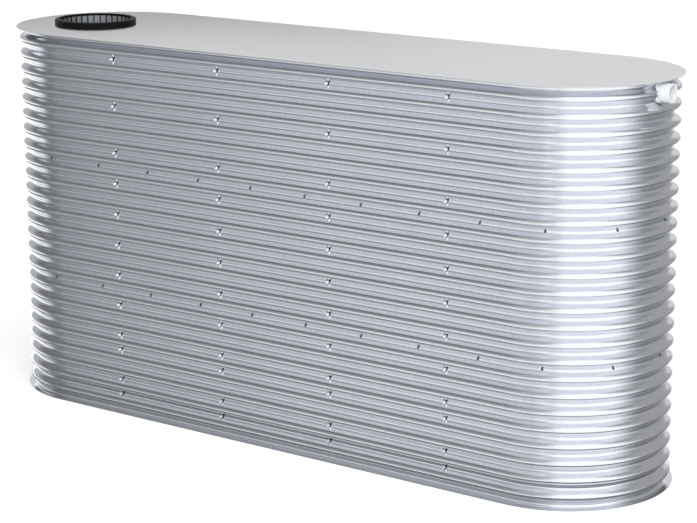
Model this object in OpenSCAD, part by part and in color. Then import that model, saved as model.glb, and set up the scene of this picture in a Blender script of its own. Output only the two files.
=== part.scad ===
// Slimline corrugated steel rainwater tank.
// A long, narrow tank with round ends: three corrugated strakes between two flat
// end sheets, tied through from side to side, with a leaf strainer in the lid,
// an overflow at one end and a ball valve low down at the other.
// Millimetres. Z is up, X runs along the tank and the front faces -Y.
// The origin is at the centre of the underside of the base sheet.

/* [End sheets] */
// Overall length of the lid and of the base
tank_len = 3642; // [2400:2:5000]
// Overall width of the lid and of the base
tank_w = 1004; // [760:2:1400]
// Thickness of the lid and base sheets
end_t = 1.2; // [0.8:0.1:2]
// Width of the hem folded flat round the edge of each end sheet
hem_w = 12; // [6:1:20]

/* [Corrugated wall] */
// Pitch of the corrugations
pitch = 76.2; // [60:0.1:90]
// Depth of the corrugations from crest to valley
depth = 31; // [16:0.5:34]
// Thickness of the wall sheet
sheet_t = 1; // [0.6:0.1:1.6]
// Corrugations on one strake
per_strake = 8; // [6:1:9]
// Height of the plain stretch from the last valley to an end sheet
collar_h = 13.4; // [8:0.2:16]
// Distance from the crests of the top strake in to the edge of the lid
wall_inset = 9; // [6:0.5:30]
// Half of the height by which one strake laps another
lap_h = 8; // [4:0.5:10]
// Film of sealant between lapped strakes
lap_gap = 0.5; // [0.4:0.1:1]
// Clearance between the wall and what seats on it
seat_gap = 0.2; // [0.1:0.05:0.4]
// Flats that one corrugation is drawn with
flats = 12; // [8:2:16]

/* [Sealant] */
// Width of the sealant fillet inside each end sheet
seal_w = 8; // [4:0.5:12]
// Distance that the sealant keeps from the wall's curve
seal_gap = 1; // [0.8:0.1:2]

/* [Seam rivets] */
// Diameter of a rivet's shank
rivet_d = 4.8; // [3.2:0.1:6.4]
// Clearance round a rivet's shank in the sheets
rivet_clear = 0.1; // [0.05:0.05:0.3]
// Diameter of a rivet's head
rivet_head_d = 11; // [8:0.5:14]
// Height of a rivet's head
rivet_head_h = 3; // [2:0.5:5]
// Length of the upset tail inside
rivet_tail_h = 4; // [3:0.5:7]
// Rivets round one seam
rivets = 26; // [16:1:40]
// Place of the first rivet along the front
rivet_start = -103; // [-150:1:150]

/* [Ties] */
// Spacing of the tie columns along the tank
tie_pitch = 640; // [480:1:760]
// Distance from the tank's centre to the middle of the tie columns
tie_shift = 23; // [-60:1:60]
// Diameter of a tie rod
tie_d = 8; // [6:1:10]
// Clearance round a tie rod in its pad and washer
tie_clear = 0.6; // [0.3:0.1:1]
// Diameter of the hole punched in the wall for a tie, which the pad covers
tie_hole_d = 13.2; // [12.6:0.1:13.6]
// Diameter of the pad and washer under a tie nut
tie_washer_d = 18; // [17:0.5:22]
// Thickness of the tie washer
tie_washer_t = 1.5; // [1:0.5:3]
// Thickness of the rubber pad over the valley's flanks
tie_pad_t = 1; // [0.6:0.1:2]
// Width across the flats of a tie nut
tie_nut_w = 13; // [12:1:15]
// Height of the six-sided part of a tie nut
tie_nut_h = 6.5; // [5:0.5:9]
// Radius of a tie nut's dome
tie_dome_r = 5.8; // [5.2:0.1:6]

/* [Strainer] */
// Place of the strainer along the lid, from the middle
strainer_x = -1460; // [-1600:5:-1200]
// Outer diameter of the basket under the rim
basket_d = 368; // [300:2:380]
// How far the rim stands out beyond the basket
rim_overhang = 22; // [12:1:30]
// Height of the rim above the lid
rim_h = 20; // [12:1:30]
// Radius of the rim's outer top edge
rim_round = 7; // [3:0.5:9]
// Depth of the basket below the lid
basket_depth = 160; // [100:5:200]
// Wall of the moulded rim and basket
basket_t = 3; // [2:0.5:4]
// Clearance of the basket in the hole in the lid
basket_clear = 2; // [1:0.5:5]
// Ribs round the basket
basket_ribs = 36; // [24:2:48]
// Width of a rib and of a bar in the floor
rib_w = 6; // [3:0.5:8]
// Height of the basket's top, middle and bottom rings
ring_h = 10; // [6:1:16]
// Diameter of the plain disc in the basket's floor
hub_d = 60; // [40:5:90]
// Bars in the basket's floor
floor_bars = 12; // [6:2:18]
// Thickness of the mesh
mesh_t = 0.8; // [0.4:0.1:1.2]
// Clearance between the mesh and the basket
mesh_gap = 0.2; // [0.1:0.1:0.4]

/* [Overflow] */
// Distance of the overflow from the tank's centre plane
overflow_y = -36; // [-45:1:45]
// Outer diameter of the overflow stub
stub_d = 82.5; // [74:0.5:90]
// Length of the stub beyond its flange
stub_len = 58; // [50:1:90]
// Bore of the stub, a socket for a 69 mm pipe
socket_d = 69.2; // [60:0.1:72]
// Depth of the socket
socket_depth = 45; // [25:1:55]
// Bore behind the socket
overflow_bore = 60; // [40:1:62]
// Diameter of the overflow's flange
flange_d = 95; // [90:1:110]
// Thickness of the overflow's flange
flange_t = 9; // [4:0.5:12]
// Outer diameter of the threaded shank through the wall
shank_d = 70; // [66:1:76]
// Chamfer at the mouth of the stub
mouth_chamfer = 2.5; // [1:0.5:4]
// Across the flats of the overflow's back nut
back_nut_w = 92; // [84:1:100]
// Thickness of the overflow's back nut
back_nut_t = 14; // [8:1:20]
// Thickness of both rubber gaskets
gasket_t = 3; // [2:0.5:4]
// Diameter of the flat seat pressed into the wall
overflow_seat_d = 102; // [98:1:112]
// Clearance round a shank in the wall
shank_clear = 0.5; // [0.3:0.1:1]
// How far a shank shows through its back nut
nut_show = 6; // [2:0.5:10]
// Clearance between a shank's thread and its nut
thread_clear = 0.1; // [0.05:0.05:0.2]
// Distance of the insect screen behind the socket
screen_back = 4; // [2:0.5:8]
// Holes across the insect screen
screen_holes = 7; // [5:2:11]
// Width of one hole in the insect screen
screen_hole_w = 5; // [3:0.5:6]

/* [Outlet] */
// Outer diameter of the outlet's threaded shank
outlet_d = 33.2; // [26:0.1:42]
// Bore of the outlet
outlet_bore = 25; // [18:0.5:28]
// Diameter of the outlet's flange
outlet_flange_d = 52; // [48:1:60]
// Thickness of the outlet's flange
outlet_flange_t = 5; // [4:0.5:8]
// Diameter of the flat seat pressed into the wall for the outlet
outlet_seat_d = 66; // [62:1:80]
// Across the flats of the outlet's back nut
outlet_nut_w = 46; // [44:1:56]
// Thickness of the outlet's back nut
outlet_nut_t = 10; // [6:1:14]

/* [Ball valve] */
// Diameter of the valve's ball
ball_d = 38; // [36:0.5:42]
// Bore through the ball
ball_bore = 25; // [18:0.5:26]
// Outer diameter of the valve body round the ball
body_d = 52; // [50:0.5:60]
// Across the flats of the body's two ends
end_w = 41; // [39:0.5:48]
// Depth of the threaded socket at each end of the valve
thread_depth = 16; // [12:0.5:20]
// Radius of the female thread's bore
female_r = 16.7; // [13:0.1:21]
// Thickness of each seat ring
seat_t = 4; // [3:0.5:6]
// How far the seat rings reach back over the ball
seat_overlap = 6; // [4:0.5:8]
// Thickness of the body's wall round the end piece
body_wall = 5; // [4:0.5:7]
// Running clearance round the ball and the stem
run_clear = 0.08; // [0.05:0.01:0.1]
// Diameter of the valve's stem
stem_d = 9; // [8:0.5:12]
// Height of the stem above the valve's axis
stem_h = 50; // [46:1:60]
// Across the flats of the gland nut
gland_w = 19; // [17:0.5:24]
// Height of the gland nut
gland_h = 8; // [6:0.5:12]
// Length of the lever from the stem
lever_len = 105; // [80:1:140]
// Width of the lever
lever_w = 20; // [18:1:26]
// Thickness of the lever
lever_t = 2.5; // [2:0.5:4]
// Length of the lever's sleeve
sleeve_len = 78; // [50:1:90]
// Thickness of the sleeve's wall
sleeve_t = 1.6; // [1:0.2:2.4]
// Across the flats of the lever's nut
lever_nut_w = 13; // [12:0.5:17]
// Height of the lever's nut
lever_nut_h = 5; // [4:0.5:8]
// Room round the ball in the body
chamber_gap = 1; // [0.6:0.1:2]
// Length of body that the end piece reaches into, past the seats
spigot_len = 6; // [4:0.5:8]
// Height of the neck above the body
neck_h = 8; // [6:0.5:12]
// Depth of the slot in the ball for the stem
slot_depth = 3; // [2:0.5:4]
// Gap between the gland nut and the lever
lever_gap = 1; // [0.5:0.5:3]

/* [Hidden] */
$fn = 96;
small = 0.01;
strakes = 3;
straight = tank_len - tank_w;
edge_r = tank_w / 2;
wave_count = strakes * per_strake;
z_wall = end_t;
z_bottom_valley = end_t + collar_h;
z_top_valley = z_bottom_valley + wave_count * pitch;
z_roof = z_top_valley + collar_h;
tank_h = z_roof + end_t;

// Slope of the wall at the edge of a lap, and the step out from one strake to the next
lap_slope = depth / 2 * 2 * PI / pitch * sin(360 * lap_h / pitch);
lap_step = (sheet_t + lap_gap) * sqrt(1 + lap_slope * lap_slope);
top_mid_r = edge_r - wall_inset - depth / 2 - sheet_t / 2;

// Middle radius of a strake's sheet, with strake 0 at the bottom
function mid_r(strake) = top_mid_r - (strakes - 1 - strake) * lap_step;
// Radius of the middle of the sheet at a height, and its slope there
function wave_r(strake, z) = mid_r(strake)
    - depth / 2 * cos(360 * (z - z_bottom_valley) / pitch);
function wave_slope(z) = depth / 2 * 2 * PI / pitch * sin(360 * (z - z_bottom_valley) / pitch);
// A point of the sheet's face, moved out from its middle square to the sheet
function face_point(strake, z, out) =
    let (lean = sqrt(1 + wave_slope(z) * wave_slope(z)))
    [wave_r(strake, z) + out / lean, z - out * wave_slope(z) / lean];
// A point on the cut edge of the sheet, moved straight out
function edge_point(strake, z, out) =
    [wave_r(strake, z) + out * sqrt(1 + wave_slope(z) * wave_slope(z)), z];
// One face of the sheet from height z0 up to z1
function face_line(strake, z0, z1, out) = concat(
    [edge_point(strake, z0, out)],
    [for (i = [ceil((z0 - z_bottom_valley) / pitch * flats + 0.2)
              : floor((z1 - z_bottom_valley) / pitch * flats - 0.2)])
        face_point(strake, z_bottom_valley + i * pitch / flats, out)],
    [edge_point(strake, z1, out)]);
function backwards(list) = [for (i = [len(list) - 1 : -1 : 0]) list[i]];

// Height of a valley, counted down from the one under the lid
function valley_z(count) = z_top_valley - count * pitch;
// Strake that shows at a valley: the upper one laps outside the lower one
function strake_at(count) = strakes - 1 - floor((count - 0.5) / per_strake);
// Radius of the outer face at the bottom of a valley
function valley_r(count) = wave_r(strake_at(count), valley_z(count)) + sheet_t / 2;

// Ties stand in these valleys, counted down from the lid, and in four columns
tie_valleys = [1, 4, 7, 9, 11, 13, 15, 17, 19, 20, 22, 23];
tie_columns = [for (i = [-1.5 : 1 : 1.5]) tie_shift + i * tie_pitch];
// Height at which a flat disc clears a valley's flanks
function valley_rise(d) = depth / 2 * (1 - cos(180 * d / pitch));
// Height of the washer's seat above the bottom of a valley
pad_rise = valley_rise(tie_washer_d) + tie_pad_t;

// Seams between strakes, as valleys counted down from the lid
upper_seam = per_strake;
lower_seam = 2 * per_strake;
// Turn of each rivet about its own axis
rivet_turn = 20;

// Flat seats pressed into the round ends
end_x = straight / 2;
overflow_z = z_top_valley - pitch / 2;
outlet_z = z_bottom_valley + 1.5 * pitch;
function seat_plane(strake, y, d) =
    end_x + sqrt(pow(mid_r(strake) - depth / 2, 2) - pow(abs(y) + d / 2, 2)) - sheet_t;
overflow_x = seat_plane(strakes - 1, overflow_y, overflow_seat_d);
outlet_x = seat_plane(0, 0, outlet_seat_d);

// Strainer
basket_r = basket_d / 2;
rim_r = basket_r + rim_overhang;

// Valve, along its own axis from the seat in the wall
body_start = gasket_t + outlet_flange_t;
ball_x = body_start + thread_depth + seat_t + ball_d / 2;
half_len = ball_x - body_start;
chamber_r = ball_d / 2 + chamber_gap;
chamber_half = half_len - thread_depth - 2 * chamber_gap;
seat_back = chamber_half - seat_overlap - seat_t;
split_x = chamber_half + spigot_len;
neck_top = body_d / 2 + neck_h;
stem_foot = ball_d / 2 - slot_depth;
tang_w = stem_d / 2;
gland_top = neck_top + gland_h;
lever_z = gland_top + lever_gap;

// A section given as radius and height, carried round the tank's plan: two straight
// sides with a half turn at each end. The section's radius is measured from the middle
// of a side or from the centre of an end.
module round_tank() {
    for (turn = [0, 180]) {
        rotate([0, 0, turn]) {
            translate([end_x, 0, 0])
                rotate([0, 0, -90])
                    rotate_extrude(angle = 180) children();
            rotate([90, 0, 90])
                linear_extrude(straight, center = true) children();
        }
    }
}

// Everything inside a section that starts at the middle: two half drums and a block
module tank_core(top, bottom, r) {
    translate([0, 0, bottom])
        linear_extrude(top - bottom) {
            square([straight, 2 * r], center = true);
            for (side = [-1, 1]) translate([side * end_x, 0]) circle(r, $fn = 180);
        }
}

// An end sheet, lying with its edge folded over on top as a flat hem
module end_sheet() {
    union() {
        tank_core(end_t, 0, edge_r);
        round_tank()
            translate([edge_r - hem_w, end_t - small]) square([hem_w, end_t + small]);
    }
}

module base_sheet() {
    color("silver") end_sheet();
}

module lid_sheet() {
    color("gainsboro") difference() {
        translate([0, 0, tank_h]) mirror([0, 0, 1]) end_sheet();
        translate([strainer_x, 0, z_roof - small])
            cylinder(h = end_t + 2 * small, r = basket_r + basket_clear);
    }
}

// Corrugated sheet of one strake between two heights
module strake_sheet(strake, z0, z1) {
    round_tank() polygon(concat(
        face_line(strake, z0, z1, sheet_t / 2),
        backwards(face_line(strake, z0, z1, -sheet_t / 2))));
}

// The space inside a strake's outer face, at the right end, to trim a pressed seat
module end_drum(strake, z0, z1) {
    translate([end_x, 0, 0])
        rotate([0, 0, -90])
            rotate_extrude(angle = 180)
                polygon(concat([[0, z0]], face_line(strake, z0, z1, sheet_t / 2), [[0, z1]]));
}

// Places its children at a seat, with their Z along the tank's X
module at_seat(x, y, z) {
    translate([x, y, z]) rotate([0, 90, 0]) children();
}

// A flat round seat pressed into the right end: a dish with a side wall up to the crests
module pressed_seat(strake, x, y, z, d) {
    intersection() {
        at_seat(x - sheet_t, y, z)
            difference() {
                cylinder(h = depth + 3 * sheet_t + d / 4, d = d);
                translate([0, 0, sheet_t]) cylinder(h = depth + d, d = d - 2 * sheet_t);
            }
        end_drum(strake, z - d, min(z + d, z_roof));
    }
}

// A strake with holes for its ties and rivets
module strake_with_holes(strake, z0, z1) {
    difference() {
        strake_sheet(strake, z0, z1);
        for (count = tie_valleys)
            if (strake_at(count) == strake)
                for (x = tie_columns)
                    translate([x, 0, valley_z(count)])
                        rotate([90, 0, 0])
                            cylinder(h = 2 * edge_r, d = tie_hole_d, center = true);
        for (count = [upper_seam, lower_seam])
            if (valley_z(count) > z0 - pitch && valley_z(count) < z1 + pitch)
                at_rivets(count)
                    translate([0, 0, -2 * depth]) cylinder(h = 4 * depth, d = rivet_d + 2 * rivet_clear);
    }
}

module bottom_strake() {
    color("lightsteelblue") difference() {
        union() {
            difference() {
                strake_with_holes(0, z_wall, valley_z(lower_seam) + lap_h);
                mirror([1, 0, 0])
                    at_seat(outlet_x - small, 0, outlet_z)
                        cylinder(h = 2 * depth, d = outlet_seat_d - sheet_t);
            }
            mirror([1, 0, 0]) pressed_seat(0, outlet_x, 0, outlet_z, outlet_seat_d);
        }
        mirror([1, 0, 0])
            at_seat(outlet_x - 2 * sheet_t, 0, outlet_z)
                cylinder(h = 4 * sheet_t, d = outlet_d + 2 * shank_clear);
    }
}

module middle_strake() {
    color("lightsteelblue")
        strake_with_holes(1, valley_z(lower_seam) - lap_h, valley_z(upper_seam) + lap_h);
}

module top_strake() {
    color("lightsteelblue") difference() {
        union() {
            difference() {
                strake_with_holes(2, valley_z(upper_seam) - lap_h, z_roof);
                at_seat(overflow_x - small, overflow_y, overflow_z)
                    cylinder(h = 2 * depth, d = overflow_seat_d - sheet_t);
            }
            pressed_seat(2, overflow_x, overflow_y, overflow_z, overflow_seat_d);
        }
        at_seat(overflow_x - 2 * sheet_t, overflow_y, overflow_z)
            cylinder(h = 4 * sheet_t, d = shank_d + 2 * shank_clear);
    }
}

// Radius of the inner face of a strake's sheet at a height
function inner_r(strake, z) =
    wave_r(strake, z) - sheet_t / 2 * sqrt(1 + wave_slope(z) * wave_slope(z));

// Fillet of sealant in the corner between the wall and an end sheet
module corner_seal(strake, z, up) {
    tip_z = z + up * seal_w;
    foot = inner_r(strake, z) - seal_gap;
    round_tank() polygon([[foot - seal_w, z], [foot, z], [inner_r(strake, tip_z) - seal_gap, tip_z]]);
}

module base_seal() {
    color("gray") corner_seal(0, z_wall, 1);
}

// The fillet under the lid stops on both sides of the overflow's pressed seat
module lid_seal() {
    color("gray") difference() {
        corner_seal(2, z_roof, -1);
        at_seat(overflow_x - 2 * sheet_t, overflow_y, overflow_z)
            cylinder(h = 2 * depth, d = overflow_seat_d + 2 * seal_gap);
    }
}

// Places children round a seam at the bottom of its valley, with their Z outwards
module at_rivets(count) {
    r = valley_r(count);
    half_turn = PI * r;
    girth = 2 * straight + 2 * half_turn;
    for (i = [0 : rivets - 1]) {
        along = (rivet_start + end_x + i * girth / rivets) % girth;
        second = along >= straight + half_turn;
        s = second ? along - straight - half_turn : along;
        turn = (s <= straight ? 0 : (s - straight) / half_turn * 180) + (second ? 180 : 0);
        x = (second ? -1 : 1) * (min(s, straight) - end_x);
        translate([x, 0, valley_z(count)])
            rotate([0, 0, turn])
                translate([0, -r, 0])
                    rotate([90, 0, 0])
                        rotate([0, 0, rivet_turn]) children();
    }
}

// A blind rivet: a low domed head, a shank through both sheets and an upset tail
module rivet(grip) {
    dome_r = (pow(rivet_head_d / 2, 2) + pow(rivet_head_h, 2)) / (2 * rivet_head_h);
    seat = valley_rise(rivet_head_d) + 2 * seat_gap;
    tail_top = -grip - seat_gap;
    intersection() {
        translate([0, 0, seat + rivet_head_h - dome_r]) sphere(dome_r, $fn = 32);
        translate([0, 0, seat]) cylinder(h = rivet_head_h, d = rivet_head_d, $fn = 32);
    }
    translate([0, 0, tail_top - small])
        cylinder(h = seat - tail_top + 2 * small, d = rivet_d, $fn = 24);
    translate([0, 0, tail_top - rivet_tail_h])
        cylinder(h = rivet_tail_h, d = 1.5 * rivet_d, $fn = 24);
}

module seam_rivets(count) {
    color("dimgray") at_rivets(count) rivet(sheet_t + lap_step);
}

module lower_seam_rivets() {
    seam_rivets(lower_seam);
}

module upper_seam_rivets() {
    seam_rivets(upper_seam);
}

// Places children at each tie on one side, at the bottom of the valley, Z outwards
module at_ties(side) {
    for (count = tie_valleys)
        for (x = tie_columns)
            translate([x, side * valley_r(count), valley_z(count)])
                rotate([side * -90, 0, 0]) children();
}

module tie_rods() {
    color("silver")
        for (count = tie_valleys)
            for (x = tie_columns)
                translate([x, 0, valley_z(count)])
                    rotate([90, 0, 0])
                        cylinder(h = 2 * (valley_r(count) + pad_rise + tie_washer_t + tie_nut_h),
                            d = tie_d, center = true, $fn = 24);
}

// A rubber pad that fills the valley under the washer and sits flat on top
module tie_pad() {
    wave = [for (i = [-flats / 2 : flats / 2])
        let (z = i * pitch / flats)
        face_point(0, z_bottom_valley + z, sheet_t / 2 + seat_gap)];
    foot = mid_r(0) - depth / 2 + sheet_t / 2;
    difference() {
        intersection() {
            cylinder(h = pad_rise, d = tie_washer_d, $fn = 48);
            rotate([90, 0, 90])
                linear_extrude(2 * tie_washer_d, center = true)
                    polygon(concat(
                        [for (point = wave) [point[1] - z_bottom_valley, point[0] - foot]],
                        [[pitch / 2, 2 * depth], [-pitch / 2, 2 * depth]]));
        }
        translate([0, 0, -small])
            cylinder(h = pad_rise + 2 * small, d = tie_d + 2 * tie_clear, $fn = 24);
    }
}

module tie_washer() {
    difference() {
        translate([0, 0, pad_rise])
            cylinder(h = tie_washer_t, d = tie_washer_d, $fn = 48);
        cylinder(h = 2 * depth, d = tie_d + 2 * tie_clear, $fn = 24);
    }
}

// A closed dome nut, threaded on to the end of its rod
module tie_nut() {
    translate([0, 0, pad_rise + tie_washer_t])
        difference() {
            union() {
                cylinder(h = tie_nut_h, d = tie_nut_w / cos(30), $fn = 6);
                intersection() {
                    translate([0, 0, tie_nut_h]) sphere(tie_dome_r, $fn = 32);
                    cylinder(h = tie_nut_h + tie_dome_r, r = tie_dome_r, $fn = 32);
                }
            }
            translate([0, 0, -small])
                cylinder(h = tie_nut_h + 2 * small, d = tie_d + 2 * thread_clear, $fn = 24);
        }
}

module front_tie_pads() {
    color("dimgray") at_ties(-1) tie_pad();
}

module back_tie_pads() {
    color("dimgray") at_ties(1) tie_pad();
}

module front_tie_washers() {
    color("silver") at_ties(-1) tie_washer();
}

module back_tie_washers() {
    color("silver") at_ties(1) tie_washer();
}

module front_tie_nuts() {
    color("white") at_ties(-1) tie_nut();
}

module back_tie_nuts() {
    color("white") at_ties(1) tie_nut();
}

// Section of the strainer's rim: a channel that straddles the edge of the hole
module rim_outline(inset) {
    inner_r = basket_r - basket_t + inset;
    outer_r = rim_r - inset;
    top = rim_h - inset;
    round_r = max(rim_round - inset, small);
    translate([inner_r, 0]) square([outer_r - round_r - inner_r, top]);
    translate([inner_r, 0]) square([outer_r - inner_r, top - round_r]);
    translate([outer_r - round_r, top - round_r]) circle(round_r, $fn = 48);
}

// Openings between the ribs, in two rows between the basket's three rings. The upper row
// reaches up into the rim
module strainer_windows() {
    turn = 360 / basket_ribs;
    window_w = 2 * basket_r * sin(turn / 2) - rib_w;
    window_top = rim_h - ring_h;
    window_h = (window_top + basket_depth - 2 * ring_h) / 2;
    for (z = [-basket_depth + ring_h, window_top - window_h])
        for (i = [0 : basket_ribs - 1])
            rotate([0, 0, i * turn])
                translate([basket_r - 2 * basket_t, -window_w / 2, z])
                    cube([4 * basket_t, window_w, window_h]);
}

// The moulded basket: a rim, a wall with openings and a barred floor
module strainer_basket() {
    color("black") translate([strainer_x, 0, tank_h]) union() {
        difference() {
            rotate_extrude() {
                difference() {
                    rim_outline(0);
                    translate([0, -small]) rim_outline(basket_t);
                }
                translate([basket_r - basket_t, -basket_depth])
                    square([basket_t, basket_depth + small]);
            }
            strainer_windows();
        }
        translate([0, 0, -basket_depth])
            linear_extrude(basket_t) {
                circle(d = hub_d);
                intersection() {
                    circle(basket_r - basket_t / 2);
                    for (i = [0 : floor_bars - 1])
                        rotate(i * 360 / floor_bars)
                            translate([0, -rib_w / 2]) square([basket_r, rib_w]);
                }
            }
    }
}

// The mesh cup that hangs round the basket, by a flange that lies on the lid under the rim.
// Its edge stands up inside the rim, behind the upper windows
module strainer_mesh() {
    inner = basket_r + mesh_gap;
    bottom = -basket_depth - mesh_gap - mesh_t;
    top = rim_h - basket_t - mesh_gap;
    color("lightgray") translate([strainer_x, 0, tank_h])
        rotate_extrude() {
            translate([0, bottom]) square([inner + mesh_t, mesh_t]);
            translate([inner, bottom]) square([mesh_t, top - bottom]);
            translate([inner, 0]) square([rim_r - basket_t - mesh_gap - inner, mesh_t]);
        }
}

// Places children on the overflow's seat, Z outwards along the tank
module at_overflow() {
    at_seat(overflow_x, overflow_y, overflow_z) children();
}

module overflow_gasket() {
    color("dimgray") at_overflow()
        difference() {
            cylinder(h = gasket_t, d = flange_d);
            translate([0, 0, -small])
                cylinder(h = gasket_t + 2 * small, d = shank_d + 2 * shank_clear);
        }
}

// The overflow: a flanged stub with a pipe socket and a threaded shank through the wall
module overflow_stub() {
    shank_len = gasket_t + sheet_t + seat_gap + back_nut_t + nut_show;
    tip = gasket_t + flange_t + stub_len;
    color("white") at_overflow()
        difference() {
            union() {
                translate([0, 0, gasket_t]) cylinder(h = flange_t, d = flange_d);
                translate([0, 0, gasket_t])
                    cylinder(h = flange_t + stub_len - mouth_chamfer, d = stub_d);
                translate([0, 0, tip - mouth_chamfer])
                    cylinder(h = mouth_chamfer, d1 = stub_d, d2 = stub_d - 2 * mouth_chamfer);
                translate([0, 0, gasket_t - shank_len]) cylinder(h = shank_len, d = shank_d);
            }
            translate([0, 0, gasket_t - shank_len - small])
                cylinder(h = shank_len + flange_t + stub_len - 2, d = overflow_bore);
            translate([0, 0, tip - socket_depth])
                cylinder(h = socket_depth + small, d = socket_d);
        }
}

module overflow_back_nut() {
    color("white") at_overflow()
        translate([0, 0, -sheet_t - back_nut_t - seat_gap])
            difference() {
                rotate(30) cylinder(h = back_nut_t, d = back_nut_w / cos(30), $fn = 6);
                translate([0, 0, -small])
                    cylinder(h = back_nut_t + 2 * small, d = shank_d + 2 * thread_clear);
            }
}

// The insect screen: a punched disc held in the bore behind the socket
module overflow_screen() {
    step = overflow_bore / (screen_holes + 1);
    half = (screen_holes - 1) / 2;
    reach = (overflow_bore - screen_hole_w) / 2 - step / 4;
    color("lightgray") at_overflow()
        translate([0, 0, gasket_t + flange_t + stub_len - socket_depth - screen_back])
            linear_extrude(mesh_t)
                difference() {
                    circle(d = overflow_bore - 2 * mesh_gap);
                    for (i = [-half : half])
                        for (j = [-half : half])
                            if (norm([i * step, j * step]) < reach)
                                translate([i * step, j * step])
                                    square(screen_hole_w, center = true);
                }
}

// Places children on the outlet's seat, Z outwards from the left end, Y to the back
module at_outlet() {
    mirror([1, 0, 0]) at_seat(outlet_x, 0, outlet_z) children();
}

module outlet_gasket() {
    color("dimgray") at_outlet()
        difference() {
            cylinder(h = gasket_t, d = outlet_flange_d);
            translate([0, 0, -small])
                cylinder(h = gasket_t + 2 * small, d = outlet_d + 2 * shank_clear);
        }
}

// The outlet: a threaded tube with a flange outside the wall
module outlet_shank() {
    inside = sheet_t + seat_gap + outlet_nut_t + nut_show;
    color("goldenrod") at_outlet()
        difference() {
            union() {
                translate([0, 0, -inside])
                    cylinder(h = inside + body_start + thread_depth - 1, d = outlet_d);
                translate([0, 0, gasket_t])
                    cylinder(h = outlet_flange_t, d = outlet_flange_d);
            }
            translate([0, 0, -inside - small])
                cylinder(h = 4 * inside + body_start + thread_depth, d = outlet_bore);
        }
}

module outlet_back_nut() {
    color("goldenrod") at_outlet()
        translate([0, 0, -sheet_t - seat_gap - outlet_nut_t])
            difference() {
                cylinder(h = outlet_nut_t, d = outlet_nut_w / cos(30), $fn = 6);
                translate([0, 0, -small])
                    cylinder(h = outlet_nut_t + 2 * small, d = outlet_d + 2 * thread_clear);
            }
}

// Places children at the valve's ball, with Z up and the pipe along X
module at_ball() {
    translate([-outlet_x - ball_x, 0, outlet_z]) children();
}

// The body: a six-sided end on the tank's side, a round middle and a neck for the stem
module valve_body() {
    wall_r = body_d / 2;
    color("goldenrod") at_ball()
        difference() {
            union() {
                rotate([0, 90, 0]) cylinder(h = half_len, r = end_w / 2 / cos(30), $fn = 6);
                translate([-split_x, 0, 0])
                    rotate([0, 90, 0]) cylinder(h = split_x + half_len - thread_depth + 2, r = wall_r);
                cylinder(h = neck_top, d = gland_w - 1);
            }
            translate([-split_x - small, 0, 0])
                rotate([0, 90, 0]) cylinder(h = split_x + chamber_half, r = chamber_r);
            translate([-split_x - small, 0, 0])
                rotate([0, 90, 0])
                    cylinder(h = split_x - chamber_half + small, r = wall_r - body_wall);
            rotate([0, 90, 0]) cylinder(h = half_len + small, d = ball_bore);
            translate([half_len - thread_depth, 0, 0])
                rotate([0, 90, 0]) cylinder(h = thread_depth + small, r = female_r);
            cylinder(h = neck_top + small, d = stem_d + 2 * run_clear);
        }
}

// The end piece, screwed into the body's open end to hold the ball and its seats
module valve_end() {
    spigot_r = body_d / 2 - body_wall - thread_clear;
    color("goldenrod") at_ball()
        difference() {
            union() {
                translate([-half_len, 0, 0])
                    rotate([0, 90, 0])
                        cylinder(h = half_len - split_x, r = end_w / 2 / cos(30), $fn = 6);
                translate([-split_x - small, 0, 0])
                    rotate([0, 90, 0])
                        cylinder(h = split_x - chamber_half - mesh_gap, r = spigot_r);
            }
            translate([-half_len - small, 0, 0])
                rotate([0, 90, 0]) cylinder(h = half_len, d = ball_bore);
            translate([-half_len - small, 0, 0])
                rotate([0, 90, 0]) cylinder(h = thread_depth, r = female_r);
        }
}

// Two rings that the ball turns between, hollowed to the ball
module valve_seats() {
    outer = chamber_r - mesh_gap;
    color("white") at_ball()
        for (side = [-1, 1])
            rotate([0, side * 90, 0])
                rotate_extrude()
                    difference() {
                        translate([ball_bore / 2, seat_back])
                            square([outer - ball_bore / 2, chamber_half - mesh_gap - seat_back]);
                        circle(ball_d / 2 + run_clear);
                    }
}

// The ball, shut: its bore lies across the pipe, and a slot on top takes the stem
module valve_ball() {
    color("silver") at_ball()
        difference() {
            sphere(ball_d / 2, $fn = 64);
            rotate([90, 0, 0]) cylinder(h = 2 * ball_d, d = ball_bore, center = true);
            translate([-ball_d, -tang_w / 2 - mesh_gap, stem_foot - mesh_gap])
                cube([2 * ball_d, tang_w + 2 * mesh_gap, ball_d]);
        }
}

module valve_stem() {
    color("goldenrod") at_ball()
        union() {
            translate([0, 0, ball_d / 2 + mesh_gap])
                cylinder(h = stem_h - ball_d / 2 - mesh_gap, d = stem_d);
            intersection() {
                translate([-stem_d, -tang_w / 2, stem_foot])
                    cube([2 * stem_d, tang_w, ball_d / 2 - stem_foot + 1]);
                cylinder(h = ball_d, d = stem_d);
            }
        }
}

module gland_nut() {
    color("goldenrod") at_ball()
        translate([0, 0, neck_top])
            difference() {
                cylinder(h = gland_h, d = gland_w / cos(30), $fn = 6);
                translate([0, 0, -small])
                    cylinder(h = gland_h + 2 * small, d = stem_d + 2 * run_clear);
            }
}

// The lever, shut: it lies across the pipe and points to the back of the tank
module valve_lever() {
    color("silver") at_ball()
        translate([0, 0, lever_z])
            difference() {
                linear_extrude(lever_t) {
                    circle(d = lever_w);
                    translate([-lever_w / 2, 0]) square([lever_w, lever_len - lever_w / 2]);
                    translate([0, lever_len - lever_w / 2]) circle(d = lever_w);
                }
                translate([0, 0, -small])
                    cylinder(h = lever_t + 2 * small, d = stem_d + 2 * thread_clear);
            }
}

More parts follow.
